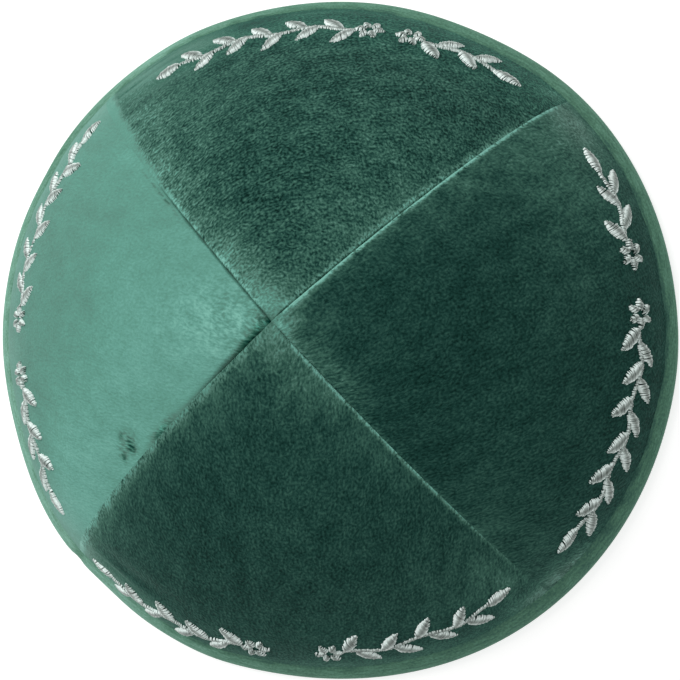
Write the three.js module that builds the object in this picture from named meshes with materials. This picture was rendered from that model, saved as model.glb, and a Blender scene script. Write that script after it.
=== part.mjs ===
// A four-gore velvet skullcap resting on its bound rim, open underneath for the head.
// Millimetres, +Z up, origin on the floor under the peak; left and right as seen with -Y in front.
import * as THREE from "three";
import { ParametricGeometry } from "three/addons/geometries/ParametricGeometry.js";
import { mergeVertices } from "three/addons/utils/BufferGeometryUtils.js";

// Driving dimensions of the cap
const RIM_RADIUS = 86.8; // outside of the binding at a seam, where the rim is widest
const CROWN_HEIGHT = 50; // floor to peak
const OVAL = 0.0077; // share by which the soft cap lies wider, and less deep, than round
const WALL = 2; // velvet on its stiff backing
const SEAM_GAP = 0.3; // between two neighbouring gores

// Driving dimensions of the binding, a tape folded over the rim
const TAPE = 1; // thickness of the tape
const TAPE_CLEARANCE = 0.35; // between the tape and the gores inside it
const LEG_OUTSIDE = 5.8; // how far the tape runs up the outside above the gores' lower edge
const LEG_INSIDE = 5; // the same inside
const FLATTENED = 0.45; // how much of the fold is pressed flat where the cap rests

// Driving dimensions of the soft details
const SEAM_DEPTH = 0.9; // how far the pile rolls down into a seam
const SEAM_ROLL = 2.2; // reach of that roll, from the seam
const DIMPLE_DEPTH = 0.8; // where the four gores are drawn together at the peak
const DIMPLE_REACH = 4;
const DETAIL_FADE = { from: 0.84, to: 0.93 }; // soft details die out here, above the binding

// One gore, from the peak (arc 0) to its lower edge (arc 1): how steeply it falls, in degrees,
// and how much of a flat-sided square, rather than a circle, its level section is
const MERIDIAN = [
  { arc: 0, slope: 8, flat: 0.3 },
  { arc: 0.15, slope: 12, flat: 0.28 },
  { arc: 0.5, slope: 26, flat: 0.2 },
  { arc: 0.76, slope: 39, flat: 0.12 },
  { arc: 0.84, slope: 50, flat: 0.07 },
  { arc: 0.92, slope: 58, flat: 0.03 },
  { arc: 1, slope: 58, flat: 0.03 },
];
const ROUNDING = { from: 0.55, to: 0.92 }; // the level section's corners at the seams round off here

// Soft folds near the ends of the seams: across runs from -1 to 1 between a gore's two seams,
// reaches are in millimetres, depth is inward
const FOLDS = [
  { gore: "gore_back", across: 0.7, arc: 0.79, reachAcross: 13, reachAlong: 3.5, depth: 1 },
  { gore: "gore_back", across: 0.66, arc: 0.7, reachAcross: 15, reachAlong: 5, depth: -0.6 },
  { gore: "gore_front", across: -0.7, arc: 0.8, reachAcross: 12, reachAlong: 3.5, depth: 0.9 },
  { gore: "gore_front", across: 0.68, arc: 0.83, reachAcross: 11, reachAlong: 5, depth: -0.7 },
  { gore: "gore_left", across: 0.55, arc: 0.74, reachAcross: 10, reachAlong: 7, depth: 0.8 },
];

// The gores and the turn of each about the peak, in degrees
const GORES = [
  { name: "gore_right", turn: 0, colour: 0x1f4a40 },
  { name: "gore_back", turn: 90, colour: 0x245246 },
  { name: "gore_left", turn: 180, colour: 0x62a38f },
  { name: "gore_front", turn: 270, colour: 0x235045 },
];

// Fineness of the faceted surfaces
const COLUMNS = [0, 0.03, 0.09, 0.2, 0.34, 0.5, 0.66, 0.83, 1]; // seam to middle of a gore
const ROWS = [0, 0.02, 0.045, 0.08, 0.13, 0.19, 0.26, 0.33, 0.4, 0.47, 0.54, 0.6, 0.65, 0.7,
  0.74, 0.78, 0.82, 0.86, 0.9, 0.94, 1];
const RIM_SEGMENTS = 96;
const FOLD_SEGMENTS = 8;
const INTEGRATION_STEPS = 400;
const JOINED_WITHIN = 0.002; // vertices this near each other are one

const HALF_GORE = Math.PI / 4;
const TURN_RADIUS = WALL / 2 + TAPE_CLEARANCE + TAPE; // outside of the folded tape
const CHANNEL_RADIUS = WALL / 2 + TAPE_CLEARANCE; // inside of the folded tape
const RIM_SLOPE = THREE.MathUtils.degToRad(MERIDIAN[MERIDIAN.length - 1].slope);

// Middle of the gores' lower edge, and the end of their outer surface there
const EDGE = { r: RIM_RADIUS - TURN_RADIUS, z: TURN_RADIUS - FLATTENED };
const OUTER_END = {
  r: EDGE.r + (WALL / 2) * Math.sin(RIM_SLOPE),
  z: EDGE.z + (WALL / 2) * Math.cos(RIM_SLOPE),
};

function columnAt(arc, column) {
  const upper = Math.max(1, MERIDIAN.findIndex((row) => row.arc >= arc));
  const from = MERIDIAN[upper - 1];
  const to = MERIDIAN[upper];
  const share = THREE.MathUtils.inverseLerp(from.arc, to.arc, arc);
  return THREE.MathUtils.lerp(from[column], to[column], share);
}

// The meridian along a seam, added up from its slopes and fitted to the height and the rim
function addUpMeridian() {
  const points = [{ r: 0, fall: 0 }];
  for (let step = 0; step < INTEGRATION_STEPS; step += 1) {
    const slope = THREE.MathUtils.degToRad(columnAt((step + 0.5) / INTEGRATION_STEPS, "slope"));
    const last = points[step];
    points.push({ r: last.r + Math.cos(slope), fall: last.fall + Math.sin(slope) });
  }
  const end = points[INTEGRATION_STEPS];
  return points.map((point) => ({
    r: (point.r / end.r) * OUTER_END.r,
    z: CROWN_HEIGHT - (point.fall / end.fall) * (CROWN_HEIGHT - OUTER_END.z),
  }));
}

const MERIDIAN_POINTS = addUpMeridian();
const ARC_LENGTH = MERIDIAN_POINTS.reduce((sum, point, index) => {
  const before = MERIDIAN_POINTS[Math.max(0, index - 1)];
  return sum + Math.hypot(point.r - before.r, point.z - before.z);
}, 0);

function meridianAt(arc) {
  const place = arc * INTEGRATION_STEPS;
  const index = Math.min(INTEGRATION_STEPS - 1, Math.floor(place));
  const from = MERIDIAN_POINTS[index];
  const to = MERIDIAN_POINTS[index + 1];
  return {
    r: THREE.MathUtils.lerp(from.r, to.r, place - index),
    z: THREE.MathUtils.lerp(from.z, to.z, place - index),
    slope: THREE.MathUtils.degToRad(columnAt(arc, "slope")),
  };
}

// Level section between two seams: 1 at the seam, less in the middle where the gore is flatter.
// High up it runs nearly straight from seam to seam, at the rim it is round with no corners
function sectionFactor(turnFromMiddle, arc) {
  const straight = 1 - Math.cos(HALF_GORE) / Math.cos(turnFromMiddle);
  const wave = (1 + Math.cos((Math.PI * turnFromMiddle) / HALF_GORE)) / 2;
  const rounded = (1 - Math.cos(HALF_GORE)) * wave;
  const rounding = THREE.MathUtils.smoothstep(arc, ROUNDING.from, ROUNDING.to);
  return 1 - columnAt(arc, "flat") * THREE.MathUtils.lerp(straight, rounded, rounding);
}

function bump(distance, reach) {
  return Math.exp(-((distance / reach) ** 2));
}

// How far the soft details press a place of a gore inward
function softDepth(gore, across, arc, radius) {
  const fromSeam = radius * Math.sin(HALF_GORE * (1 - Math.abs(across)));
  let depth = SEAM_DEPTH * bump(fromSeam, SEAM_ROLL);
  FOLDS.filter((fold) => fold.gore === gore.name).forEach((fold) => {
    const besides = (across - fold.across) * HALF_GORE * radius;
    const along = (arc - fold.arc) * ARC_LENGTH;
    depth += fold.depth * bump(besides, fold.reachAcross) * bump(along, fold.reachAlong)
      * (1 - bump(fromSeam, SEAM_ROLL));
  });
  depth *= 1 - THREE.MathUtils.smoothstep(arc, DETAIL_FADE.from, DETAIL_FADE.to);
  return Math.max(depth, DIMPLE_DEPTH * bump(arc * ARC_LENGTH, DIMPLE_REACH));
}

// A place of the gore wall: outside at depth 0, inside at the depth of the wall.
// Depth goes straight down at the peak, so that the inside still meets on the axis there
function wallPlace(gore, across, arc, depth) {
  const seam = meridianAt(arc);
  const turn = across * HALF_GORE;
  const radius = seam.r * sectionFactor(turn, arc);
  const inward = depth + softDepth(gore, across, arc, radius);
  const leaning = THREE.MathUtils.smoothstep(arc, 0, MERIDIAN[1].arc);
  const r = radius - inward * Math.sin(seam.slope) * leaning;
  const straightDown = (1 - leaning) / Math.cos(seam.slope) + leaning * Math.cos(seam.slope);
  return new THREE.Vector3(r * Math.cos(turn), r * Math.sin(turn), seam.z - inward * straightDown);
}

// Joins the edges of a surface that closes on itself and drops the triangles that vanish there
function closeSurface(geometry) {
  geometry.deleteAttribute("normal");
  geometry.deleteAttribute("uv");
  const joined = mergeVertices(geometry, JOINED_WITHIN);
  const old = joined.getIndex().array;
  const kept = [];
  for (let corner = 0; corner < old.length; corner += 3) {
    const [a, b, c] = old.slice(corner, corner + 3);
    if (a !== b && b !== c && c !== a) kept.push(a, b, c);
  }
  joined.setIndex(kept);
  joined.computeVertexNormals();
  return joined;
}

// One gore as a flat tube: across its outside, round a seam edge, back across its inside,
// drawn together to a point at the peak and closed along the middle of its lower edge
function goreGeometry(gore) {
  const half = COLUMNS.length - 1;
  const acrosses = [
    ...COLUMNS.map((share) => share - 1),
    ...COLUMNS.slice(0, half).reverse().map((share) => 1 - share),
  ];
  const loop = [
    ...acrosses.slice().reverse().map((across) => ({ across, depth: 0 })),
    ...acrosses.map((across) => ({ across, depth: WALL })),
  ];
  const rows = [...ROWS.map((arc) => ({ arc, closing: false })), { arc: 1, closing: true }];
  const surface = (u, v, target) => {
    const { across, depth } = loop[Math.round(u * loop.length) % loop.length];
    const { arc, closing } = rows[Math.round(v * (rows.length - 1))];
    target.copy(wallPlace(gore, across, arc, closing ? WALL / 2 : depth));
  };
  return closeSurface(new ParametricGeometry(surface, loop.length, rows.length - 1));
}

// The folded tape in section: outside leg, fold pressed flat on the floor, inside leg, channel
function bindingSection() {
  const along = new THREE.Vector2(Math.cos(RIM_SLOPE), -Math.sin(RIM_SLOPE));
  const out = new THREE.Vector2(Math.sin(RIM_SLOPE), Math.cos(RIM_SLOPE));
  const edge = new THREE.Vector2(EDGE.r, EDGE.z);
  const place = (outward, downward) => {
    const point = edge.clone().addScaledVector(out, outward).addScaledVector(along, downward);
    return new THREE.Vector2(point.x, Math.max(0, point.y));
  };
  const fold = (radius, segments) => Array.from({ length: segments + 1 }, (_, index) => {
    const angle = (index / segments) * Math.PI;
    return place(radius * Math.cos(angle), radius * Math.sin(angle));
  });
  const outside = [place(TURN_RADIUS, -LEG_OUTSIDE), ...fold(TURN_RADIUS, FOLD_SEGMENTS)];
  const insideLeg = [place(-TURN_RADIUS, -LEG_INSIDE), place(-CHANNEL_RADIUS, -LEG_INSIDE)];
  const channel = fold(CHANNEL_RADIUS, FOLD_SEGMENTS / 2).reverse();
  const section = [...outside, ...insideLeg, ...channel, place(CHANNEL_RADIUS, -LEG_OUTSIDE)];
  return [...section, section[0].clone()].reverse();
}

// The binding is that section led round the rim, along the gores' lower edges
function bindingGeometry() {
  const ring = new THREE.LatheGeometry(bindingSection(), RIM_SEGMENTS);
  ring.rotateX(Math.PI / 2);
  const places = ring.getAttribute("position");
  for (let index = 0; index < places.count; index += 1) {
    const turn = Math.atan2(places.getY(index), places.getX(index));
    const quarter = Math.round(turn / (2 * HALF_GORE)) * 2 * HALF_GORE;
    const factor = sectionFactor(turn - quarter, 1);
    places.setXY(index, places.getX(index) * factor, places.getY(index) * factor);
  }
  return closeSurface(ring);
}

function velvet(name, colour) {
  const material = new THREE.MeshStandardMaterial({ color: colour, roughness: 0.95, metalness: 0 });
  material.name = name;
  return material;
}

const cap = new THREE.Group();
cap.name = "kippah_skullcap";
cap.scale.set(1 + OVAL, 1 - OVAL, 1);

GORES.forEach((gore) => {
  const mesh = new THREE.Mesh(goreGeometry(gore), velvet(`${gore.name}_velvet`, gore.colour));
  const turn = THREE.MathUtils.degToRad(gore.turn);
  const shift = SEAM_GAP / Math.SQRT2;
  mesh.name = gore.name;
  mesh.rotation.z = turn;
  mesh.position.set(shift * Math.cos(turn), shift * Math.sin(turn), 0);
  cap.add(mesh);
});

const binding = new THREE.Mesh(bindingGeometry(), velvet("rim_binding_velvet", 0x3f7a60));
binding.name = "rim_binding";
cap.add(binding);

export default cap;
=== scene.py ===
import math
import random

import bmesh
import bpy
import numpy as np
from mathutils import Matrix, Vector, noise


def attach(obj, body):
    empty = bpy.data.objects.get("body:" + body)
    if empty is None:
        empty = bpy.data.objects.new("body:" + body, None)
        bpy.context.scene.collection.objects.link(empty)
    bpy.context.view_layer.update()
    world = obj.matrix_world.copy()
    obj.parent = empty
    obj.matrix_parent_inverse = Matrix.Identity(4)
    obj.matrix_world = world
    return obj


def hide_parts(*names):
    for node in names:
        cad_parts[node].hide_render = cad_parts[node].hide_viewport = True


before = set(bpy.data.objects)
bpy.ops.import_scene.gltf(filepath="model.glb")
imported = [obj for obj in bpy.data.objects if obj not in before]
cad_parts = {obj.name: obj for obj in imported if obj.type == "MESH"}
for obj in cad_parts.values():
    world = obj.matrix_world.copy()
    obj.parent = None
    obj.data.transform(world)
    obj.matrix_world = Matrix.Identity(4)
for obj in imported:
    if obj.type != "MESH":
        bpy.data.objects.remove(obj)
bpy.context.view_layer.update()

# Gores: four panels of cut-pile velvet on a stiff backing, each a curved triangle from the peak to the
# rim. Neighbours are sewn face to face and opened out, so the pile rolls down into every seam.
MM = 0.001
RIM_RADIUS = 86.8 * MM  # outside of the binding, at a seam
CROWN_HEIGHT = 50 * MM
OVAL = 0.0077  # share by which the soft cap lies wider, and less deep, than round
WALL = 2 * MM
SEAM_GAP = 0.004 * MM
TURN_RADIUS = 2.35 * MM  # outside of the binding's fold, round the gores' lower edge
FLATTENED = 0.45 * MM
HALF_GORE = math.pi / 4
# One gore from the peak (0) to its lower edge (1): place, slope in degrees, flatness of its level section
MERIDIAN = (
    (0.00, 8, 0.30),
    (0.15, 12, 0.28),
    (0.50, 26, 0.20),
    (0.76, 39, 0.12),
    (0.84, 50, 0.07),
    (0.92, 58, 0.03),
    (1.00, 58, 0.03),
)
ROUNDING = (0.55, 0.92)  # the level section's corners at the seams round off between these places
ARC, SLOPE, FLAT = (np.array(column) for column in zip(*MERIDIAN))
RIM_SLOPE = math.radians(SLOPE[-1])
EDGE_R = RIM_RADIUS - TURN_RADIUS
EDGE_Z = TURN_RADIUS - FLATTENED
STEPS = 400  # along the curve of a seam
step_slopes = np.radians(np.interp((np.arange(STEPS) + 0.5) / STEPS, ARC, SLOPE))
seam_r = np.concatenate(([0], np.cumsum(np.cos(step_slopes))))
seam_z = np.concatenate(([0], np.cumsum(np.sin(step_slopes))))
seam_r *= (EDGE_R + WALL / 2 * math.sin(RIM_SLOPE)) / seam_r[-1]
seam_z *= (CROWN_HEIGHT - EDGE_Z - WALL / 2 * math.cos(RIM_SLOPE)) / seam_z[-1]
seam_z = CROWN_HEIGHT - seam_z
ARC_LENGTH = float(np.hypot(np.diff(seam_r), np.diff(seam_z)).sum())

# How the soft rim lies out of round: turn and reach in degrees, how far out
LIE = (
    (64, 14, -0.90 * MM),
    (116, 9, 0.35 * MM),
    (153, 6, -0.30 * MM),
    (200, 13, -1.00 * MM),
    (232, 7, -0.75 * MM),
    (254, 8, 0.50 * MM),
    (299, 18, 0.30 * MM),
    (358, 9, 0.28 * MM),
)
LIE_ARCS = (0.6, 1.0)  # where on the wall that sets in, and where it is full
TURNS = {"gore_right": 0, "gore_back": 90, "gore_left": 180, "gore_front": 270}
# How a gore's two edges, at across -1 and at across 1, roll down into their seams: depth, reach, how far the
# cloth stands up beside the roll, and the arcs between which the seam flattens out under brushed pile
ROLLS = {
    "gore_right": (
        (0.55 * MM, 0.9 * MM, 0.05 * MM, 0.15, 0.38),
        (0.42 * MM, 1.0 * MM, 0.30 * MM, 0.45, 0.65),
    ),
    "gore_back": (
        (0.45 * MM, 0.7 * MM, 0.05 * MM, 0.45, 0.65),
        (0.85 * MM, 0.8 * MM, 0.10 * MM, 0.30, 0.50),
    ),
    "gore_left": (
        (0.85 * MM, 0.8 * MM, 0.10 * MM, 0.30, 0.50),
        (0.95 * MM, 1.6 * MM, 0.00 * MM, 0.10, 0.30),
    ),
    "gore_front": (
        (0.80 * MM, 1.4 * MM, 0.20 * MM, 0.08, 0.26),
        (0.50 * MM, 0.9 * MM, 0.15 * MM, 0.15, 0.38),
    ),
}
# Where the four points meet: how far each is drawn down, and from how far
TIPS = {
    "gore_right": (0.6 * MM, 2.0 * MM),
    "gore_back": (0.9 * MM, 2.0 * MM),
    "gore_left": (1.5 * MM, 1.1 * MM),
    "gore_front": (0.8 * MM, 2.0 * MM),
}
# Soft folds near the seams' ends: across (-1 to 1), arc, reach across and along in mm, depth inward in mm
FOLDS = {
    "gore_right": (),
    "gore_back": (
        (0.70, 0.79, 13, 3.5, 1.0),
        (0.66, 0.70, 15, 5.0, -0.6),
        (0.80, 0.86, 9, 1.5, 0.4),
        (0.76, 0.74, 9, 1.6, 0.3),
    ),
    "gore_left": (
        (0.55, 0.74, 10, 7.0, 0.8),
    ),
    "gore_front": (
        (-0.70, 0.80, 12, 3.0, 0.6),
        (-0.80, 0.85, 7, 1.4, 0.5),
        (0.68, 0.83, 11, 5.0, -0.7),
    ),
}
UNEVEN = (0.3, 1.3 * MM, 3.1 * MM)  # how much hand sewing wavers, and the two lengths over which it does
ROLL_STEEP = 3  # power by which the cloth falls away into a seam
ROLL_AT_PEAK = (0.7, 1 * MM, 4 * MM)  # share of a roll's depth at the peak, and where the rest sets in
STAND = (0.8, 9 * MM)  # its spread as a share of the roll's reach, and how far from the peak it is full


def ease(value, start, end):
    """0 up to start, 1 from end on, smooth between them."""
    share = np.clip((value - start) / (end - start), 0, 1)
    return share * share * (3 - 2 * share)


def bell(distance, reach):
    """1 at no distance, a third at the reach, and nothing far off."""
    return np.exp(-((distance / reach) ** 2))


def wrapped(angle, full=360):
    """The same angle between minus and plus half a turn."""
    return (angle + full / 2) % full - full / 2


def level_factor(turn, arc):
    """Level section of the cap: 1 at a seam, less in the middle of a gore, with no corners at the rim."""
    straight = 1 - math.cos(HALF_GORE) / np.cos(turn)
    rounded = (1 - math.cos(HALF_GORE)) * (1 + np.cos(math.pi * turn / HALF_GORE)) / 2
    flatness = straight + (rounded - straight) * ease(arc, *ROUNDING)
    return 1 - np.interp(arc, ARC, FLAT) * flatness


def lie(turn):
    """How far the rim lies out of round at a turn given in radians."""
    return sum(out * bell(wrapped(np.degrees(turn) - at), reach) for at, reach, out in LIE)


def seam_r_at(arc):
    """How far from the peak's upright a seam runs."""
    return np.interp(arc * STEPS, np.arange(STEPS + 1), seam_r)


def seam_distance(across, radius):
    """How far a place is from the nearer seam."""
    return radius * np.sin(HALF_GORE * (1 - np.abs(across)))


def patch(from_across, from_arc, radius, reach_across, reach_along):
    """A soft spot on a gore, 1 in its middle, with its two reaches in mm."""
    beside = from_across * HALF_GORE * radius
    return bell(beside, reach_across * MM) * bell(from_arc * ARC_LENGTH, reach_along * MM)


def edge_values(edges, across):
    """The columns of a gore's two edges, each taken from the edge that a place is nearer to."""
    return [np.where(across < 0, *column) for column in zip(*edges)]


def uneven(arc):
    """How a hand-sewn seam waxes and wanes along its length, about 1."""
    wavers, length, other_length = UNEVEN
    along = arc * ARC_LENGTH
    return 1 + wavers * np.sin(along / length) * np.sin(along / other_length)


def soft_depth(gore, across, arc, radius):
    """How far the seams, folds and peak press a place of a gore inward."""
    from_seam = seam_distance(across, radius)
    along = arc * ARC_LENGTH
    roll, reach, stand, flattens, flat = edge_values(ROLLS[gore], across)
    depth = roll * uneven(arc) * np.clip(1 - from_seam / (reach * uneven(arc)), 0, 1) ** ROLL_STEEP
    at_peak, sets_in, full = ROLL_AT_PEAK
    depth = depth * (at_peak + (1 - at_peak) * ease(along, sets_in, full))
    spread, full = STAND
    depth = depth - stand * bell(from_seam - reach, spread * reach) * np.clip(along / full, 0, 1)
    depth = depth * (1 - ease(arc, flattens, flat))
    for fold_across, fold_arc, reach_across, reach_along, fold_depth in FOLDS[gore]:
        pressed = patch(across - fold_across, arc - fold_arc, radius, reach_across, reach_along)
        depth = depth + fold_depth * MM * pressed * (1 - bell(from_seam, reach))
    tip_depth, tip_reach = TIPS[gore]
    return np.maximum(depth, tip_depth * bell(along, tip_reach))


def wall_place(gore, across, arc, depth):
    """Places of a gore's wall in the row's frame: its outside at depth 0, its inside at the wall's depth."""
    across, arc = np.asarray(across, float), np.asarray(arc, float)
    turn, way = across * HALF_GORE, math.radians(TURNS[gore])
    slope = np.radians(np.interp(arc, ARC, SLOPE))
    radius = seam_r_at(arc) * level_factor(turn, arc)
    height = np.interp(arc * STEPS, np.arange(STEPS + 1), seam_z)
    inward = depth + soft_depth(gore, across, arc, radius)
    leaning = ease(arc, 0, ARC[1])
    radius = radius - inward * np.sin(slope) * leaning + lie(turn + way) * ease(arc, *LIE_ARCS)
    height = height - inward * ((1 - leaning) / np.cos(slope) + leaning * np.cos(slope))
    shift = SEAM_GAP / math.sqrt(2)
    x = radius * np.cos(turn + way) + shift * math.cos(way)
    y = radius * np.sin(turn + way) + shift * math.sin(way)
    return np.stack((x * (1 + OVAL), y * (1 - OVAL), height), axis=-1)


def linear(code):
    """An sRGB hex colour as linear values."""
    values = [int(code[i : i + 2], 16) / 255 for i in (0, 2, 4)]
    return (*((v / 12.92 if v <= 0.04045 else ((v + 0.055) / 1.055) ** 2.4) for v in values), 1.0)


def add(tree, kind, inputs=(), tones=(), **settings):
    """One node with its settings; inputs maps sockets to values or to the sockets that feed them.

    A ramp's tones are pairs of place and sRGB hex, the first at 0 and the last at 1.
    """
    made = tree.nodes.new(kind)
    for place, _ in tones[1:-1]:
        made.color_ramp.elements.new(place)
    for i, (_, code) in enumerate(tones):
        made.color_ramp.elements[i].color = linear(code)
    for key, value in settings.items():
        setattr(made, key, value)
    for key, value in dict(inputs).items():
        if isinstance(value, bpy.types.NodeSocket):
            tree.links.new(value, made.inputs[key])
        else:
            made.inputs[key].default_value = value
    return made


def start_material(name):
    """A material with no nodes yet, and its tree."""
    material = bpy.data.materials.new(name)
    material.use_nodes = True
    material.node_tree.nodes.clear()
    return material, material.node_tree


def finish_piece(mesh, name, materials, sharp=50):
    """Makes a bmesh an object at the origin, smooth but for its sharp edges."""
    for face in mesh.faces:
        face.smooth = True
    for edge in mesh.edges:
        edge.smooth = not (edge.is_manifold and edge.calc_face_angle(0) > math.radians(sharp))
    data = bpy.data.meshes.new(name)
    mesh.to_mesh(data)
    mesh.free()
    for material in materials:
        data.materials.append(material)
    piece = bpy.data.objects.new(name, data)
    bpy.context.scene.collection.objects.link(piece)
    return piece


# Cut-pile velvet: dense upright fibres that lie over along the nap. Seen along the fibres it is deep green,
# seen across their sides it is pale. That sheen, and the light and shade on each gore, are painted into its
# tone along with the way the pile lies. Single fibres are too fine to show, so the locks that they lie in are
# drawn, along the cloth's own flat cut.
LOCK = (1.4 * MM, 0.62 * MM)  # spacing of brushed locks of pile, along and across the nap
NUB = (0.66 * MM, 0.6 * MM)  # spacing of short upright tufts
CLUMP = (6 * MM, 4 * MM)  # spacing of locks that lie together
BRUSHED = (30 * MM, 18 * MM)  # spacing of the strokes of a brush
BRUSHED_WEIGHT = 0.07
WANDER = (3 * MM, 1.0 * MM)  # over what length the locks stray from their line, and how far
OPENED_SHARE = 0.85  # how much of the pile shows as opened along the seams, before it is broken up
NAP_TONES = (
    (0.00, "02231d"), (0.17, "173d36"), (0.27, "264c43"), (0.46, "3d6759"),
    (0.60, "537c6f"), (0.755, "5c9384"), (0.82, "649d8f"), (1.00, "7cb7a8"),
)
PILE_SHEEN = {"Sheen Weight": 0.2, "Sheen Roughness": 0.4, "Sheen Tint": linear("a5cfc0")}
velvet, tree = start_material("green_cut_pile_velvet")
cut = add(tree, "ShaderNodeUVMap", uv_map="cut").outputs["UV"]
wander = add(tree, "ShaderNodeTexNoise", {"Vector": cut, "Scale": 1 / WANDER[0], "Detail": 1.0})
drift = add(
    tree, "ShaderNodeVectorMath",
    {0: wander.outputs["Color"], 1: (WANDER[1], WANDER[1], 0), 2: cut}, operation="MULTIPLY_ADD",
).outputs["Vector"]


def pile_pattern(tree, flat, size, detail, spread):
    """Pile lying in locks of the given spacing, from -0.5 between them to 0.5 on them.

    The spread is how far the noise goes from its middle before the pattern is at its full.
    """
    laid = add(
        tree, "ShaderNodeMapping", {"Vector": flat, "Scale": (*size, 1)}, vector_type="TEXTURE"
    )
    fibres = add(
        tree, "ShaderNodeTexNoise", {"Vector": laid.outputs["Vector"], "Scale": 1.0, "Detail": detail}
    )
    return add(
        tree, "ShaderNodeMapRange",
        {
            "Value": fibres.outputs["Fac"], "From Min": 0.5 - spread, "From Max": 0.5 + spread,
            "To Min": -0.5, "To Max": 0.5,
        },
        interpolation_type="SMOOTHSTEP",
    ).outputs["Result"]


locks = pile_pattern(tree, drift, LOCK, detail=2.5, spread=0.23)
nubs = pile_pattern(tree, drift, NUB, detail=3.0, spread=0.25)
clumps = pile_pattern(tree, drift, CLUMP, detail=2.0, spread=0.3)
brushed = pile_pattern(tree, drift, BRUSHED, detail=2.0, spread=0.3)
nap_and_painted_light, lock_weight, nub_weight, opened_pile_and_seam_shading, painted_sheen_grey = (
    add(tree, "ShaderNodeAttribute", attribute_name=name).outputs["Fac"]
    for name in ("nap_and_painted_light", "locks", "nubs", "opened_pile_and_seam_shading", "painted_sheen_grey")
)
broken = OPENED_SHARE
for pattern, weight in ((locks, 0.4), (nubs, 0.9), (clumps, 0.9)):
    broken = add(
        tree, "ShaderNodeMath", {0: pattern, 1: weight, 2: broken}, operation="MULTIPLY_ADD", use_clamp=True
    ).outputs["Value"]
tone = nap_and_painted_light
for pattern, weight in (
    (locks, lock_weight), (clumps, lock_weight), (nubs, nub_weight),
    (brushed, BRUSHED_WEIGHT), (broken, opened_pile_and_seam_shading),
):
    tone = add(
        tree, "ShaderNodeMath", {0: pattern, 1: weight, 2: tone}, operation="MULTIPLY_ADD"
    ).outputs["Value"]
relief = add(tree, "ShaderNodeMath", {0: locks, 1: nubs}, operation="ADD").outputs["Value"]
bump = add(tree, "ShaderNodeBump", {"Height": relief, "Strength": 0.3, "Distance": 0.3 * MM})
kept = add(tree, "ShaderNodeMath", {0: 1.0, 1: painted_sheen_grey}, operation="SUBTRACT").outputs["Value"]
dyed = add(tree, "ShaderNodeValToRGB", {"Fac": tone}, NAP_TONES).outputs["Color"]
dyed = add(tree, "ShaderNodeHueSaturation", {"Color": dyed, "Saturation": kept}).outputs["Color"]
shader = add(
    tree, "ShaderNodeBsdfPrincipled",
    {
        "Base Color": dyed, "Normal": bump.outputs["Normal"],
        "Roughness": 0.85, "Specular IOR Level": 0.06, **PILE_SHEEN,
    },
)
add(tree, "ShaderNodeOutputMaterial", {"Surface": shader.outputs["BSDF"]})

# Woven cotton backing, fused to the velvet and seen only from underneath: a plain weave, dyed with the
# velvet, matt, with threads that go over and under each other by turns.
THREAD = 1.0 * MM  # spacing of its threads, drawn twice as coarse as real so that it shows
BACKING_TONES = ((0.0, "274a40"), (1.0, "3a6356"))
backing, tree = start_material("woven_backing")
cut = add(tree, "ShaderNodeUVMap", uv_map="cut").outputs["UV"]
WAVE_SCALE = math.tau / 20  # a wave texture of this scale repeats once a metre
weave = []
for way in ("X", "Y"):
    wave = add(
        tree, "ShaderNodeTexWave", {"Vector": cut, "Scale": WAVE_SCALE / (2 * THREAD), "Distortion": 0.3},
        bands_direction=way,
    )
    weave.append(
        add(tree, "ShaderNodeMath", {0: wave.outputs["Fac"], 1: 0.5}, operation="SUBTRACT").outputs["Value"]
    )
crossed = add(tree, "ShaderNodeMath", {0: weave[0], 1: weave[1]}, operation="MULTIPLY").outputs["Value"]
crossed = add(
    tree, "ShaderNodeMath", {0: crossed, 1: 2.0, 2: 0.5}, operation="MULTIPLY_ADD"
).outputs["Value"]
bump = add(tree, "ShaderNodeBump", {"Height": crossed, "Strength": 0.5, "Distance": 0.2 * MM})
dyed = add(tree, "ShaderNodeValToRGB", {"Fac": crossed}, BACKING_TONES).outputs["Color"]
shader = add(
    tree, "ShaderNodeBsdfPrincipled",
    {
        "Base Color": dyed, "Normal": bump.outputs["Normal"],
        "Roughness": 0.9, "Specular IOR Level": 0.2,
    },
)
add(tree, "ShaderNodeOutputMaterial", {"Surface": shader.outputs["BSDF"]})

# How each gore was cut and how its pile lies: angle of the nap to the gore's lower edge in degrees, its tone
# from deep (0) to pale (1), painted sheen and light as well as the pile's own colour, how strongly its locks
# and its nubs show, and how much painted sheen greys it at the rim, below zero where that deepens it instead
NAPS_AND_LIGHT = {
    "gore_right": (60, 0.178, 0.11, 0.24, -0.02),
    "gore_back": (-20, 0.265, 0.20, 0.46, -0.18),
    "gore_left": (105, 0.755, 0.05, 0.08, -0.06),
    "gore_front": (90, 0.20, 0.11, 0.26, -0.05),
}
# How the pile opens along the same two edges: how much paler it is there, partly a painted highlight on edges
# that face the light, how far in and up to which arc, and how much darker it is where it parts, painted shade
# down in the seam
FRAYS = {
    "gore_right": ((0.14, 0.8 * MM, 0.92, 0.1), (1.00, 0.6 * MM, 1.06, 0.0)),
    "gore_back": ((0.42, 1.2 * MM, 0.90, 0.3), (0.36, 1.1 * MM, 0.60, 0.3)),
    "gore_left": ((0.00, 0.8 * MM, 1.00, 0.1), (-0.20, 0.8 * MM, 0.58, 0.0)),
    "gore_front": ((0.38, 1.8 * MM, 1.50, 0.0), (0.62, 0.7 * MM, 0.88, 0.0)),
}
FRAY_STARTS = (0.02, 0.08)  # arcs between which the pile starts to open
FRAY_ENDS = 0.4  # and over how much of the arc it stops
# painted shade where the pile parts down in a seam:
PARTING = (0.28 * MM, 0.25, 0.60)  # how wide, and the arcs between which it closes
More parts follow.
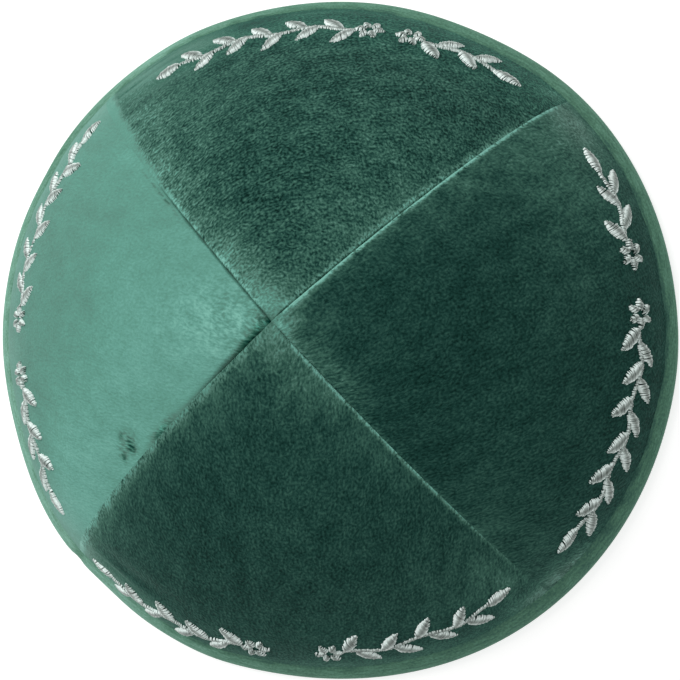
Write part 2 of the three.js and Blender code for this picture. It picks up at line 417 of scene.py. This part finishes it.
# Along one seam the pile of the next gore laps over: how far in, and the arcs from which and up to which the
# lap widens
LAP_GORE, LAP = "gore_back", (3.4 * MM, 0.12, 0.82)
LAP_EDGE = (0.5 * MM, 61, 23)  # how ragged it is, and two rates at which it wavers, in radians an arc
LAP_BACK, LAP_SOFT = 0.4 * MM, 1.1 * MM  # how far it holds back from the seam, and how softly it ends
# the lap takes on the left gore's pale tone, which is painted sheen and light as much as the pile's own
# colour
LAP_TONE, LAP_SMOOTHER = 0.72, 0.45
# Where hands have stroked the pile over, and where light and shade are painted on: shadows along the seams,
# the dark pit at the peak, shade in the creases of folds and light on a fold's crest; others lighten or
# darken
# wide spreads of a gore. Columns: across, arc, reach across and along in mm, paler, rougher
STROKES_AND_SHADE = {
    "gore_right": (
        (0.80, 0.78, 22, 18, 0.20, 0.10),
        (0.00, 0.05, 9, 12, 0.15, 0.08),
        (0.00, 0.025, 3.2, 4.2, 0.36, 0.05),
        (1.00, 0.09, 1.5, 7, 0.34, 0.05),
        (-1.00, 0.06, 1.4, 5, 0.28, 0.10),
        (-0.84, 0.18, 2.2, 7, 0.13, 0.14),
        (0.90, 0.50, 6, 24, 0.09, 0.04),
        (1.00, 0.30, 1.8, 26, 0.12, 0.10),
        (0.92, 0.23, 3, 4, 0.10, 0.10),
        (0.95, 0.53, 4, 5, 0.08, 0.05),
        (-1.00, 0.20, 4.5, 12, 0.06, 0.10),
        (-0.92, 0.84, 9, 12, 0.09, 0.06),
        (-0.93, 0.64, 8, 9, 0.10, 0.00),
        (-0.84, 0.945, 9, 2.4, 0.15, 0.20),
        (-0.95, 0.93, 9, 5, 0.22, 0.12),
        (0.92, 0.89, 10, 7, 0.22, 0.05),
    ),
    "gore_back": (
        (0.92, 0.60, 11, 27, 0.15, 0.12),
        (0.78, 0.94, 24, 6, 0.13, -0.12),
        (1.00, 0.12, 6, 12, 0.22, -0.04),
        (1.00, 0.34, 6, 22, 0.18, 0.05),
        (0.10, 0.05, 9, 10, 0.15, -0.04),
        (0.00, 0.03, 6, 5, 0.20, -0.10),
        (0.70, 0.19, 7, 7, 0.07, 0.00),
        (0.50, 0.27, 9, 6, -0.06, 0.00),
        (0.25, 0.40, 12, 10, -0.04, 0.00),
        (0.55, 0.84, 18, 4, 0.08, -0.05),
        (0.00, 0.84, 12, 3, 0.09, 0.00),
        # painted light along the crest of a fold
        (0.76, 0.86, 12, 7, 0.28, -0.30),
        (0.52, 0.88, 8, 5, 0.12, -0.15),
        (0.29, 0.93, 6, 5, -0.17, 0.00),
        (-1.00, 0.92, 8, 5, 0.19, 0.00),
        (-0.40, 0.98, 28, 3, 0.10, 0.00),
        (0.65, 0.68, 14, 12, 0.08, -0.08),
        (0.15, 0.85, 32, 5, 0.05, -0.05),
        # painted shadow where the next gore's edge stands over this one
        (-1.00, 0.86, 0.9, 9, -0.14, 0.00),
        (-0.60, 0.30, 9, 15, 0.07, 0.00),
        (-0.45, 0.65, 20, 8, -0.03, 0.00),
        (-0.18, 0.145, 7, 4, -0.07, 0.00),
        (0.60, 0.98, 34, 6, 0.08, -0.12),
        (-0.92, 0.35, 6, 26, 0.06, 0.00),
        (-0.96, 0.63, 4, 5, -0.08, 0.00),
        # painted shade in the creases of the folds
        (0.74, 0.91, 5, 1.2, -0.20, 0.00),
        (0.86, 0.86, 5, 1.2, -0.22, 0.00),
        (0.66, 0.86, 6, 1.4, -0.15, 0.00),
    ),
    "gore_left": (
        (0.80, 0.480, 0.7, 0.8, -0.32, 0.00),
        (0.91, 0.462, 1.7, 1.2, -0.22, 0.35),
        (0.92, 0.500, 1.4, 0.8, -0.26, 0.30),
        (0.87, 0.470, 2.6, 2.8, -0.14, 0.35),
        (0.98, 0.36, 1.2, 4, -0.28, 0.40),
        (0.00, 0.08, 9, 15, 0.04, 0.22),
        # painted shade in the creases round the peak, and beside the seam where this gore rolls under
        (0.40, 0.035, 0.9, 2.2, -0.15, 0.10),
        (-0.30, 0.030, 0.8, 1.6, -0.14, 0.10),
        (1.00, 0.06, 1.4, 6, -0.38, 0.28),
        (0.95, 0.77, 13, 15, 0.12, 0.00),
        (0.50, 0.31, 10, 10, 0.03, 0.00),
        (0.55, 0.08, 4, 4, -0.05, 0.00),
        # painted shade: a thin dark line along the seam
        (-0.972, 0.42, 0.35, 8, -0.16, 0.25),
        # painted shade in the pit at the peak
        (0.00, 0.00, 2.0, 0.8, -0.50, 0.00),
        (0.00, 0.02, 2.5, 2.4, -0.02, 0.10),
        (-0.10, 0.54, 34, 8, -0.03, 0.00),
        (0.70, 0.60, 18, 24, 0.08, 0.03),
        (0.00, 0.16, 24, 13, 0.06, 0.00),
        (0.00, 0.78, 80, 20, -0.09, 0.00),
        (-0.81, 0.77, 12, 10, 0.03, 0.00),
    ),
    "gore_front": (
        (0.00, 0.06, 9, 12, 0.12, 0.08),
        (0.00, 0.02, 3.5, 4.5, 0.28, -0.05),
        (0.35, 0.15, 9, 9, 0.04, 0.04),
        (-0.12, 0.15, 6, 5, -0.05, 0.00),
        (-0.66, 0.23, 5, 5, 0.06, 0.00),
        (-1.00, 0.28, 8, 24, 0.10, 0.04),
        (0.95, 0.18, 7, 11, 0.15, 0.06),
        (0.95, 0.37, 5, 14, 0.07, 0.02),
        (-0.95, 0.66, 6, 22, 0.07, 0.04),
        (-0.55, 0.64, 13, 14, -0.05, 0.00),
        (0.88, 0.75, 13, 11, 0.09, 0.04),
        (-0.82, 0.70, 14, 10, 0.06, 0.00),
        (-1.00, 0.75, 3.5, 22, 0.20, 0.04),
        (-0.75, 0.99, 24, 5, 0.42, -0.05),
        (-0.81, 0.91, 18, 8, 0.36, -0.10),
        # painted shade in the crease of a fold
        (-0.76, 0.81, 9, 1.8, -0.09, 0.00),
        (-0.98, 0.82, 4, 8, 0.16, 0.08),
        (0.32, 0.945, 32, 4, 0.20, 0.00),
        (1.00, 0.94, 9, 4.5, 0.28, 0.10),
        (0.93, 0.82, 6, 7, 0.14, 0.10),
    ),
}
PALEST = 0.84
RICHER = 0.1  # darkened below its rest by more than this, the pile takes less painted sheen grey and is richer in colour
PALE_SHEEN_GREY = (0.2, 0.3, 0.6)  # how much more painted sheen greys pale pile, and the tones between which that sets in
RIM_SHEEN_ARCS = (0.7, 0.95)  # where on the wall the painted sheen grey sets in, and where it is full
LEAST_LOCKS, LEAST_NUBS = 0.02, 0.06
COLUMNS, ROWS = 150, 130
CROWDED = 1.5  # crowds the columns towards the seams
MERGED = 0.01 * MM  # points closer than this are one
SWELLS = (0.45 * MM, 26 * MM)  # height and spacing of the wall's soft swells
SWELLS_FROM = (8 * MM, 0.125)  # how far from a seam, and at what arc from the rim, they are full
RUFFLES = (0.10 * MM, 3 * MM, 2 * MM)  # height and spacing of ruffled pile, and how far from a seam full


def pile_values(gore, across, arc, radius):
    """Tone with painted light and shade, locks, nubs, opened pile with seam shading, painted sheen grey."""
    _, rest, locks, nubs, rim_sheen_grey = NAPS_AND_LIGHT[gore]
    tone, rough = np.full_like(arc, rest), np.zeros_like(arc)
    for stroke_across, stroke_arc, reach_across, reach_along, paler, rougher in STROKES_AND_SHADE[gore]:
        stroke_and_shade = patch(across - stroke_across, arc - stroke_arc, radius, reach_across, reach_along)
        tone = tone + paler * stroke_and_shade
        rough = rough + rougher * stroke_and_shade
    from_seam = seam_distance(across, radius)
    if gore == LAP_GORE:
        wide, start, end = LAP
        ragged, rate, other_rate = LAP_EDGE
        wavers = ragged * np.sin(arc * rate) * np.sin(arc * other_rate)
        wide = wide * ease(arc, start, end) + wavers - LAP_BACK
        lapped = ease(wide - from_seam, -LAP_SOFT, LAP_SOFT) * (across > 0)
        tone, rough = tone + (LAP_TONE - tone) * lapped, rough - LAP_SMOOTHER * lapped**2
    paler, reach, until, seam_shade = edge_values(FRAYS[gore], across)
    opened_pile_and_seam_shading = paler * bell(from_seam, reach) * ease(arc, *FRAY_STARTS)
    opened_pile_and_seam_shading = opened_pile_and_seam_shading * (1 - ease(arc, until - FRAY_ENDS, until))
    wide, closing, closed = PARTING
    parted_shade = bell(from_seam, wide) * (2 * uneven(arc) - 1) * (1 - ease(arc, closing, closed))
    opened_pile_and_seam_shading = opened_pile_and_seam_shading - seam_shade * parted_shade
    more, from_tone, to_tone = PALE_SHEEN_GREY
    painted_sheen_grey = (rim_sheen_grey + more * ease(tone, from_tone, to_tone)) * ease(arc, *RIM_SHEEN_ARCS)
    painted_sheen_grey = painted_sheen_grey - np.maximum(rest - RICHER - tone, 0)
    return {
        "nap_and_painted_light": np.minimum(tone, PALEST), "opened_pile_and_seam_shading": opened_pile_and_seam_shading, "painted_sheen_grey": painted_sheen_grey,
        "locks": np.maximum(locks + rough, LEAST_LOCKS),
        "nubs": np.maximum(nubs + np.minimum(rough, 0), LEAST_NUBS),
    }


def sew_gore(gore):
    """A gore's closed wall: a grid bent to its outside, and the same grid one wall's depth inside."""
    mesh = bmesh.new()
    bmesh.ops.create_grid(mesh, x_segments=COLUMNS, y_segments=ROWS, size=1)
    pulled = bmesh.ops.extrude_face_region(mesh, geom=mesh.faces[:], use_keep_orig=True)["geom"]
    outer_faces = {part for part in pulled if isinstance(part, bmesh.types.BMFace)}
    outer = {part for part in pulled if isinstance(part, bmesh.types.BMVert)}
    for face in mesh.faces:
        face.material_index = 0 if face in outer_faces else 1
    grid = np.array([(*vert.co.xy, vert in outer) for vert in mesh.verts])
    across = np.sign(grid[:, 0]) * (1 - (1 - np.abs(grid[:, 0])) ** CROWDED)
    arc = (grid[:, 1] + 1) / 2
    outside = wall_place(gore, across, arc, 0)
    inside = wall_place(gore, across, arc, WALL)
    radius = np.hypot(outside[:, 0], outside[:, 1])
    from_seam = seam_distance(across, radius)
    pile = pile_values(gore, across, arc, radius)
    layers = {name: mesh.verts.layers.float.new(name) for name in pile}
    cut_turn = math.radians(NAPS_AND_LIGHT[gore][0])
    beside, along = across * HALF_GORE * radius, arc * ARC_LENGTH
    flat_u = beside * math.cos(cut_turn) + along * math.sin(cut_turn)
    flat_v = along * math.cos(cut_turn) - beside * math.sin(cut_turn)
    flat_cut = mesh.loops.layers.uv.new("cut")
    mesh.verts.index_update()
    for face in mesh.faces:
        for loop in face.loops:
            loop[flat_cut].uv = (flat_u[loop.vert.index], flat_v[loop.vert.index])
    for i, vert in enumerate(mesh.verts):
        place = Vector(outside[i] if grid[i, 2] else inside[i])
        if grid[i, 2]:
            height, spacing = SWELLS
            free = min(1.0, from_seam[i] / SWELLS_FROM[0]) * min(1.0, (1 - arc[i]) / SWELLS_FROM[1])
            place.z += height * free * noise.noise(place / spacing)
            height, spacing, full = RUFFLES
            place.z += height * min(1.0, from_seam[i] / full) * noise.noise(place / spacing)
        vert.co = place
        for name, layer in layers.items():
            vert[layer] = pile[name][i]
    bmesh.ops.remove_doubles(mesh, verts=mesh.verts[:], dist=MERGED)
    bmesh.ops.recalc_face_normals(mesh, faces=mesh.faces[:])
    piece = finish_piece(mesh, gore.replace("gore", "velvet_gore"), (velvet, backing))
    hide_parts(gore)
    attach(piece, "root")


for gore in TURNS:
    sew_gore(gore)

# Binding: a bias tape of short-pile velvet folded over the gores' lower edges, its fold pressed flat where
# the cap rests. It was sewn on by hand, so it covers more of the wall in some places than in others, and
# its pile mingles with the gores' along its upper edge.
TAPE_THICKNESS = 0.5 * MM
TAPE_STEPS = 360  # round the rim
# Turn round the rim in degrees, and the tape's height up the outside there in mm
LEG_OUTSIDE = ((0, 30, 43, 60, 75, 90, 105, 120, 135, 180, 240, 275, 290, 320, 340, 360),
               (3.8, 4.3, 5.0, 5.0, 4.3, 3.4, 2.8, 3.5, 3.2, 3.6, 5.5, 5.7, 5.8, 5.4, 4.7, 3.8))
# The tape's outside in section: mm up the wall from the gores' lower edge, and mm out of the wall's middle
TAPE_SECTION = (
    (6.3, 0.75), (5.8, 1.0), (5.0, 1.35), (4.2, 1.68), (3.3, 2.0), (2.2, 2.25), (1.0, 2.36), (0.0, 2.3),
    (-0.9, 2.12), (-1.64, 1.62), (-2.14, 0.86), (-2.3, 0.0), (-2.14, -0.86), (-1.64, -1.62), (-0.9, -2.12),
    (0.0, -2.3), (1.5, -2.3), (3.5, -2.25), (5.0, -2.2),
)
HIGHEST = TAPE_SECTION[0][0] * MM
FOLD_OVER = 4 * MM  # what the fold takes up of the flat tape
LEG_WAVERS = (0.6 * MM, 7 * MM)  # how far its height wavers, and over what length
STREAK = (5 * MM, 0.9 * MM)  # spacing of the tape's worn streaks, along and across the rim
JOIN = (225.5, 1.3)  # where the tape's two ends meet, and how wide the dip there is, in degrees
JOIN_DIP, JOIN_DEEPER = 0.4 * MM, 0.3  # how far in the join dips, and how much deeper its tone is
TAPE_FRAY = (0.25, 4 * MM)  # how ragged its upper edge is, as a share of its height, and over what length
MINGLED = (0.75, 0.65, 1.05)  # how far it takes on the gore's tone, and between which shares of its height
MINGLED_ARC = 0.94  # where on the gore that tone is
# The tape's nap lies round the rim, and its tone is painted light: pale where it faces the light, deep on the
# far side
TAPE_TONES = (
    (0.0, "18352d"), (0.16, "264a41"), (0.40, "41685b"), (0.54, "4f7964"), (0.65, "598671"),
    (0.875, "729f8c"), (1.0, "80b09e"),
)
# Turn round the rim in degrees, and the tape's tone there, painted light and shade
TAPE_NAP_AND_LIGHT = ((0, 30, 60, 90, 108, 122, 133, 147, 160, 180, 215, 240, 255, 270, 300, 330, 360),
            (0.57, 0.62, 0.60, 0.67, 0.73, 0.92, 0.82, 0.66, 0.82,
             0.90, 0.95, 0.86, 0.70, 0.61, 0.54, 0.50, 0.57))
bound, tree = start_material("short_pile_velvet_tape")
cut = add(tree, "ShaderNodeUVMap", uv_map="cut").outputs["UV"]
nubs = pile_pattern(tree, cut, NUB, detail=3.0, spread=0.25)
streaks = pile_pattern(tree, cut, STREAK, detail=2.0, spread=0.25)
tone = add(tree, "ShaderNodeAttribute", attribute_name="nap_and_painted_light").outputs["Fac"]
for pattern, weight in ((nubs, 0.22), (streaks, 0.2)):
    tone = add(
        tree, "ShaderNodeMath", {0: pattern, 1: weight, 2: tone}, operation="MULTIPLY_ADD"
    ).outputs["Value"]
dyed = add(tree, "ShaderNodeValToRGB", {"Fac": tone}, TAPE_TONES).outputs["Color"]
bump = add(tree, "ShaderNodeBump", {"Height": nubs, "Strength": 0.3, "Distance": 0.3 * MM})
shader = add(
    tree, "ShaderNodeBsdfPrincipled",
    {
        "Base Color": dyed, "Normal": bump.outputs["Normal"],
        "Roughness": 0.8, "Specular IOR Level": 0.06, **PILE_SHEEN,
    },
)
add(tree, "ShaderNodeOutputMaterial", {"Surface": shader.outputs["BSDF"]})

mesh = bmesh.new()
down = Vector((math.cos(RIM_SLOPE), 0, -math.sin(RIM_SLOPE)))
out = Vector((math.sin(RIM_SLOPE), 0, math.cos(RIM_SLOPE)))
edge = Vector((EDGE_R, 0, EDGE_Z))
line = [mesh.verts.new(edge - down * up * MM + out * away * MM) for up, away in TAPE_SECTION]
edges = [mesh.edges.new(pair) for pair in zip(line, line[1:])]
bmesh.ops.spin(
    mesh, geom=line + edges, cent=(0, 0, 0), axis=(0, 0, 1), angle=2 * math.pi,
    steps=TAPE_STEPS, use_merge=True,
)
bmesh.ops.remove_doubles(mesh, verts=mesh.verts[:], dist=MERGED)
bmesh.ops.recalc_face_normals(mesh, faces=mesh.faces[:])
tape_tone_and_light = mesh.verts.layers.float.new("nap_and_painted_light")
tape_cut = mesh.loops.layers.uv.new("cut")
laid = {}
for vert in mesh.verts:
    turn = math.atan2(vert.co.y, vert.co.x)
    from_edge = Vector((vert.co.xy.length, 0, vert.co.z)) - edge
    up, away = -from_edge.dot(down), from_edge.dot(out)
    laid[vert] = (turn, up if away > 0 else -up - FOLD_OVER)
for face in mesh.faces:
    middle = math.atan2(face.calc_center_median().y, face.calc_center_median().x)
    for loop in face.loops:
        turn, over = laid[loop.vert]
        loop[tape_cut].uv = (middle + wrapped(turn - middle, math.tau)) * RIM_RADIUS, over
for vert, (turn, over) in laid.items():
    degrees = math.degrees(turn)
    share = max(0, over / HIGHEST)
    gore = min(TURNS, key=lambda name: abs(wrapped(degrees - TURNS[name])))
    gore_turn = wrapped(turn - math.radians(TURNS[gore]), math.tau)
    pile = pile_values(gore, np.array(gore_turn / HALF_GORE), np.array(MINGLED_ARC), RIM_RADIUS)
    join = float(bell(wrapped(degrees - JOIN[0]), JOIN[1]))
    tone = np.interp(degrees % 360, *TAPE_NAP_AND_LIGHT) - JOIN_DEEPER * join
    ragged, length = TAPE_FRAY
    mingled, start, end = MINGLED
    frayed = share + ragged * noise.noise(vert.co / length)
    vert[tape_tone_and_light] = tone + mingled * (float(pile["nap_and_painted_light"]) - tone) * ease(frayed, start, end)
    from_edge = Vector((vert.co.xy.length, 0, vert.co.z)) - edge
    if share > 0:
        wavers, length = LEG_WAVERS
        leg = np.interp(degrees % 360, *LEG_OUTSIDE) * MM + wavers * noise.noise(vert.co / length)
        from_edge += down * share * (HIGHEST - leg)
    from_edge -= out * JOIN_DIP * join
    radius = (edge + from_edge).x * float(level_factor(gore_turn, 1.0)) + float(lie(turn))
    vert.co = (
        radius * math.cos(turn) * (1 + OVAL), radius * math.sin(turn) * (1 - OVAL), (edge + from_edge).z
    )
bmesh.ops.solidify(mesh, geom=mesh.faces[:], thickness=TAPE_THICKNESS)
for vert in mesh.verts:
    vert.co.z = max(0.0, vert.co.z)
bmesh.ops.recalc_face_normals(mesh, faces=mesh.faces[:])
binding = finish_piece(mesh, "bias_tape_binding", (bound,))
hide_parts("rim_binding")
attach(binding, "root")

# Embroidery: two leafy sprigs in silver thread on each gore, machine satin stitch. Every leaf is a pad of
# thread laid side by side across its width, on a corded stem that starts from a small flower.
STRAND_RADIUS = 0.20 * MM
STRAND_STEP = 0.36 * MM
STRAND_STRAYS = 0.12 * MM  # how far the ends of the stitches stray
LEAF = (7.2 * MM, 1.55 * MM)  # length and half width
LEAF_FORM = (0.85, 0.75)  # powers that set where a leaf is widest and how blunt its ends are
LEAF_SLANT = 0.45  # how far its threads lean to the tip, as a share of its width
LEAF_STEP = 7.6 * MM
LEAF_TURN = (44, 5)  # angle to the stem in degrees, and how far that strays
LEAF_BEHIND = 0.35  # how far one leaf of a pair is behind the other, as a share of their step
STEM_BENDS = 0.8 * MM
STEM_STITCH = (0.40 * MM, 0.42 * MM)  # half of a slanted stitch, along and across the stem
PETALS, PETAL = 6, (2.6 * MM, 0.95 * MM)
HEART = 1.0 * MM  # radius of the flower's open heart
PAD, STEM_PAD = 0.6 * MM, 0.25 * MM  # height of the padding under the threads
ARCH = 4  # power of the curve over the padding: flat in the middle, steep at the ends
ENDS_CROWDED = 0.5  # crowds the spans of a thread towards its ends
SEED = 7
DIVE, CLEAR = 0.35 * MM, 0.15 * MM  # how far threads are drawn in at their ends, and lie off the cloth
# Middle line of each gore's sprigs: arc in the gore's middle, how it drifts towards across 1, and where
# each of the two sprigs starts and ends across the gore
SPRIGS = {
    "gore_right": (0.862, 0.000, ((0.12, -0.86), (0.35, 0.80))),
    "gore_back": (0.825, -0.030, ((-0.37, -0.86), (-0.20, 0.75))),
    "gore_left": (0.820, 0.015, ((0.00, -0.95), (0.25, 0.88))),
    "gore_front": (0.873, -0.038, ((0.15, 0.92), (-0.15, -0.92))),
}
# Silver polyester thread: smooth filaments with a metallic shine, and a painted highlight where they curve
# down into the cloth
SILVER_TONES = ((0.0, "58625d"), (0.5, "9ba9a3"), (1.0, "f2fffb"))
SHINE = 0.35  # by how much the threads differ
END_HIGHLIGHT = (1.5, 1.8)  # painted highlight at the threads' ends, and the power by which it sets in
silver, tree = start_material("silver_embroidery_thread")
tone = add(tree, "ShaderNodeAttribute", attribute_name="tone").outputs["Fac"]
dyed = add(tree, "ShaderNodeValToRGB", {"Fac": tone}, SILVER_TONES).outputs["Color"]
shader = add(
    tree, "ShaderNodeBsdfPrincipled",
    {
        "Base Color": dyed, "Roughness": 0.35, "Specular IOR Level": 0.6,
        "Sheen Weight": 0.6, "Sheen Roughness": 0.3, "Sheen Tint": linear("f2fffb"),
    },
)
add(tree, "ShaderNodeOutputMaterial", {"Surface": shader.outputs["BSDF"]})

# One thread, along X from -1 to 1, five-sided, in six spans so that it can arch over its pad
thread = bmesh.new()
bmesh.ops.create_cone(
    thread, cap_ends=True, segments=5, radius1=1, radius2=1, depth=2,
    matrix=Matrix.Rotation(math.pi / 2, 4, "Y"),
)
bmesh.ops.subdivide_edges(
    thread, edges=[side for side in thread.edges if abs(side.verts[0].co.x - side.verts[1].co.x) > 1], cuts=5
)
thread_data = bpy.data.meshes.new("thread")
thread.to_mesh(thread_data)
thread.free()
thread_points = np.array([vert.co[:] for vert in thread_data.vertices])
thread_points[:, 0] = np.sign(thread_points[:, 0]) * np.abs(thread_points[:, 0]) ** ENDS_CROWDED


def band_place(gore, beside, up):
    """Places on a gore's pile, measured along its sprigs from the gore's middle, and up from their line."""
    arc_middle, drift, _ = SPRIGS[gore]
    across = beside / (HALF_GORE * seam_r_at(arc_middle))
    return wall_place(gore, across, arc_middle + drift * across - up / ARC_LENGTH, 0)


def leaf_threads(root, angle, length, half_width):
    """Threads across one leaf, from its root to its tip, slanted a little: two ends and a pad height each."""
    way = np.array((math.cos(angle), math.sin(angle)))
    side = np.array((-way[1], way[0]))
    widest, blunt = LEAF_FORM
    count = max(3, round(length / STRAND_STEP))
    threads = []
    for i in range(count):
        share = (i + 0.5) / count
        width = half_width * math.sin(math.pi * share**widest) ** blunt
        middle = np.array(root) + way * length * share
        reach = side * width + way * width * LEAF_SLANT
        threads.append((middle - reach, middle + reach, PAD * width / half_width))
    return threads


def sprig_threads(start, end, chance):
    """Threads of one sprig between two places along the band: flower, stem, leaves in pairs, a last leaf."""
    way = 1 if end > start else -1
    flower = PETAL[0] + HEART
    pairs = max(1, int((abs(end - start) - flower - LEAF[0]) / LEAF_STEP))
    step = (abs(end - start) - flower - LEAF[0]) / pairs

    def stem(along):
        return np.array((start + way * along, STEM_BENDS * math.sin(along / step * math.pi)))

    leaf_turn, strays = LEAF_TURN
    threads = []
    for petal in range(PETALS):
        angle = petal * 2 * math.pi / PETALS
        root = np.array((start + math.cos(angle) * HEART, math.sin(angle) * HEART))
        threads += leaf_threads(root, angle, *PETAL)
    for pair in range(pairs):
        for side in (1, -1):
            along = flower + (pair + LEAF_BEHIND * (side < 0)) * step
            turn = side * math.radians(leaf_turn + chance.uniform(-strays, strays))
            threads += leaf_threads(stem(along), turn if way > 0 else math.pi - turn, *LEAF)
    tip = flower + pairs * step
    threads += leaf_threads(stem(tip), 0 if way > 0 else math.pi, *LEAF)
    along = flower
    while along < tip:
        slant = np.array((way * STEM_STITCH[0], STEM_STITCH[1]))
        threads.append((stem(along) - slant, stem(along) + slant, STEM_PAD))
        along += STRAND_STEP
    return threads


def embroider(gore):
    """Lays all of a gore's threads on its pile, each arched over its pad and drawn in at its ends."""
    chance = random.Random(TURNS[gore] + SEED)
    band_r = HALF_GORE * seam_r_at(SPRIGS[gore][0])
    threads = []
    for start, end in SPRIGS[gore][2]:
        threads += sprig_threads(start * band_r, end * band_r, chance)
    starts, ends, pads = (np.array(column) for column in zip(*threads))
    starts, ends = (
        places + np.array([[chance.gauss(0, STRAND_STRAYS) for _ in range(2)] for _ in threads])
        for places in (starts, ends)
    )
    along = (ends - starts) / np.linalg.norm(ends - starts, axis=1)[:, None]
    side = np.stack((-along[:, 1], along[:, 0]), axis=1)
    lengthwise, sideways, upward = thread_points.T
    flat = (starts + ends)[:, None] / 2 + lengthwise[None, :, None] * (ends - starts)[:, None] / 2
    flat = flat + sideways[None, :, None] * STRAND_RADIUS * side[:, None]
    sunk = lengthwise**ARCH
    lift = pads[:, None] * (1 - sunk) + upward * STRAND_RADIUS - DIVE * sunk + CLEAR
    nudge = STRAND_RADIUS
    places = band_place(gore, flat[..., 0], flat[..., 1])
    beside = band_place(gore, flat[..., 0] + nudge, flat[..., 1]) - places
    above = band_place(gore, flat[..., 0], flat[..., 1] + nudge) - places
    normal = np.cross(beside, above)
    normal /= np.linalg.norm(normal, axis=-1)[..., None]
    places = (places + normal * lift[..., None]).reshape(-1, 3)
    shine = np.array([[chance.uniform(0.0, SHINE)] for _ in threads])
    end_highlight, steeply = END_HIGHLIGHT
    tones = (shine + end_highlight * np.abs(lengthwise) ** steeply).ravel()
    mesh = bmesh.new()
    for _ in threads:
        mesh.from_mesh(thread_data)
    tone = mesh.verts.layers.float.new("tone")
    for vert, place, value in zip(mesh.verts, places, tones):
        vert.co = place
        vert[tone] = value
    bmesh.ops.recalc_face_normals(mesh, faces=mesh.faces[:])
    piece = finish_piece(mesh, gore.replace("gore", "silver_sprigs"), (silver,), sharp=80)
    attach(piece, "root")


for gore in TURNS:
    embroider(gore)

# Stage: a plain white light table of matt acrylic, lit from below, with a large soft box to the back left
# and a pale room round it.
floor_mesh = bmesh.new()
bmesh.ops.create_grid(floor_mesh, x_segments=1, y_segments=1, size=1.5)
white, tree = start_material("white_acrylic_light_table")
shader = add(
    tree, "ShaderNodeBsdfPrincipled",
    {
        "Base Color": linear("c8c8c7"), "Roughness": 0.7, "Specular IOR Level": 0.2,
        "Emission Color": (1, 1, 1, 1), "Emission Strength": 0.65,
    },
)
add(tree, "ShaderNodeOutputMaterial", {"Surface": shader.outputs["BSDF"]})
floor = finish_piece(floor_mesh, "light_table", (white,))

world = bpy.data.worlds.new("pale_room")
world.use_nodes = True
world.node_tree.nodes["Background"].inputs["Color"].default_value = (1, 1, 1, 1)
world.node_tree.nodes["Background"].inputs["Strength"].default_value = 0.55
bpy.context.scene.world = world
bpy.context.scene.view_settings.view_transform = "Standard"

BOX_PLACE = Vector((-0.5, 0.4, 0.6))
box_light = bpy.data.lights.new("soft_box", "AREA")
box_light.shape = "SQUARE"
box_light.size = 0.6
box_light.energy = 5.0
soft_box = bpy.data.objects.new("soft_box", box_light)
bpy.context.scene.collection.objects.link(soft_box)
towards = (-BOX_PLACE).to_track_quat("-Z", "Y").to_matrix().to_4x4()
soft_box.matrix_world = Matrix.Translation(BOX_PLACE) @ towards

# Camera: nearly straight above, a little to the right, close enough that the sides fall away. It was
# fitted to the cap's outline, its seams and its peak.
EYE = Vector((54.23, -12.12, 253.29)) * MM
AIM = Vector((5.109, -1.106, 0)) * MM
ROLL = 0.0521
camera = bpy.data.objects.new("camera", bpy.data.cameras.new("camera"))
camera.data.sensor_width = 36
camera.data.lens = 53.95
camera.data.clip_start = 0.01
bpy.context.scene.collection.objects.link(camera)
back = (EYE - AIM).normalized()
right = Vector((-math.sin(ROLL), math.cos(ROLL), 0)).cross(back).normalized()
turned = Matrix((right, back.cross(right), back)).transposed()
camera.matrix_world = Matrix.Translation(EYE) @ turned.to_4x4()
bpy.context.scene.camera = camera
